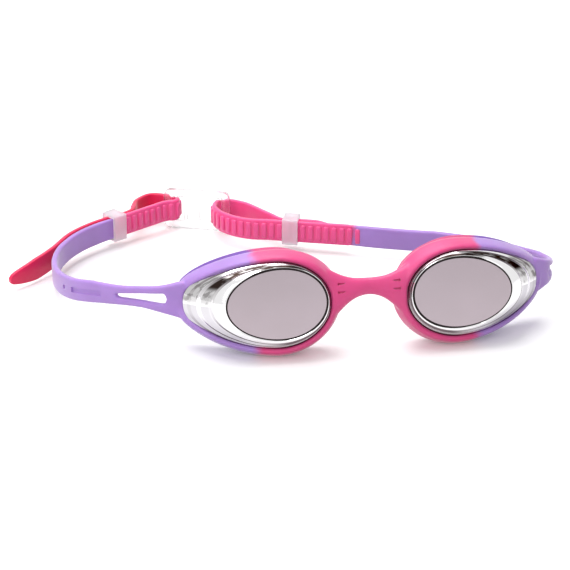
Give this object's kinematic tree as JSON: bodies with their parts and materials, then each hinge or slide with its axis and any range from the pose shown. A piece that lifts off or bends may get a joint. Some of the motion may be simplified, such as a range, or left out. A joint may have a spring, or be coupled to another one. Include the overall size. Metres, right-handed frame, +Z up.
{
  "type": "swim goggles",
  "caption": "Children's swim goggles with mirrored lens cups, soft two-colour frame, forked arms, looped strap, sliding keepers and a clear swivelling back buckle",
  "frame": {"origin": "on the table, under the middle of the whole object with its strap laid out behind it", "axes": "+X along the frame from its left lens to its right lens as seen from in front, +Y from the lenses back towards the buckle, +Z up from the table"},
  "size_m": [0.1928, 0.1335, 0.0373],
  "materials": {
    "pink_rubber": "satin moulded silicone",
    "purple_rubber": "satin moulded silicone",
    "seal_rubber": "soft matt silicone",
    "mirror_lens": "mirror-coated moulded lens",
    "frosted_plastic": "frosted moulded plastic",
    "clear_plastic": "clear moulded plastic"
  },
  "bodies": {
    "frame": {"front_frame": "pink_rubber", "left_temple_frame": "purple_rubber", "right_temple_frame": "purple_rubber", "left_lens": "mirror_lens", "right_lens": "mirror_lens", "left_eye_seal": "seal_rubber", "right_eye_seal": "seal_rubber"},
    "strap": {"left_strap": "purple_rubber", "right_strap": "purple_rubber", "left_strap_end": "pink_rubber", "right_strap_end": "pink_rubber"},
    "left_sleeve": {"left_keeper": "frosted_plastic"},
    "right_sleeve": {"right_keeper": "frosted_plastic"},
    "buckle": {"back_buckle": "clear_plastic"}
  },
  "joints": [
    {"name": "strap_lift", "type": "hinge", "parent": "frame", "child": "strap", "pos_m": [0.0132, -0.02442, 0.0138], "axis": [1, 0, 0], "range_deg": [-30, 45], "stiffness_Nm_per_rad": 0.02},
    {"name": "left_keeper_slide", "type": "slide", "parent": "strap", "child": "left_sleeve", "axis": [0.829, 0.5592, 0], "range_m": [-0.006, 0.005]},
    {"name": "right_keeper_slide", "type": "slide", "parent": "strap", "child": "right_sleeve", "axis": [-0.942, 0.3355, 0], "range_m": [-0.006, 0]},
    {"name": "buckle_swivel", "type": "hinge", "parent": "strap", "child": "buckle", "pos_m": [-0.03139, 0.06202, 0.008], "axis": [0, 0, 1], "range_deg": [-8, 0]}
  ]
}
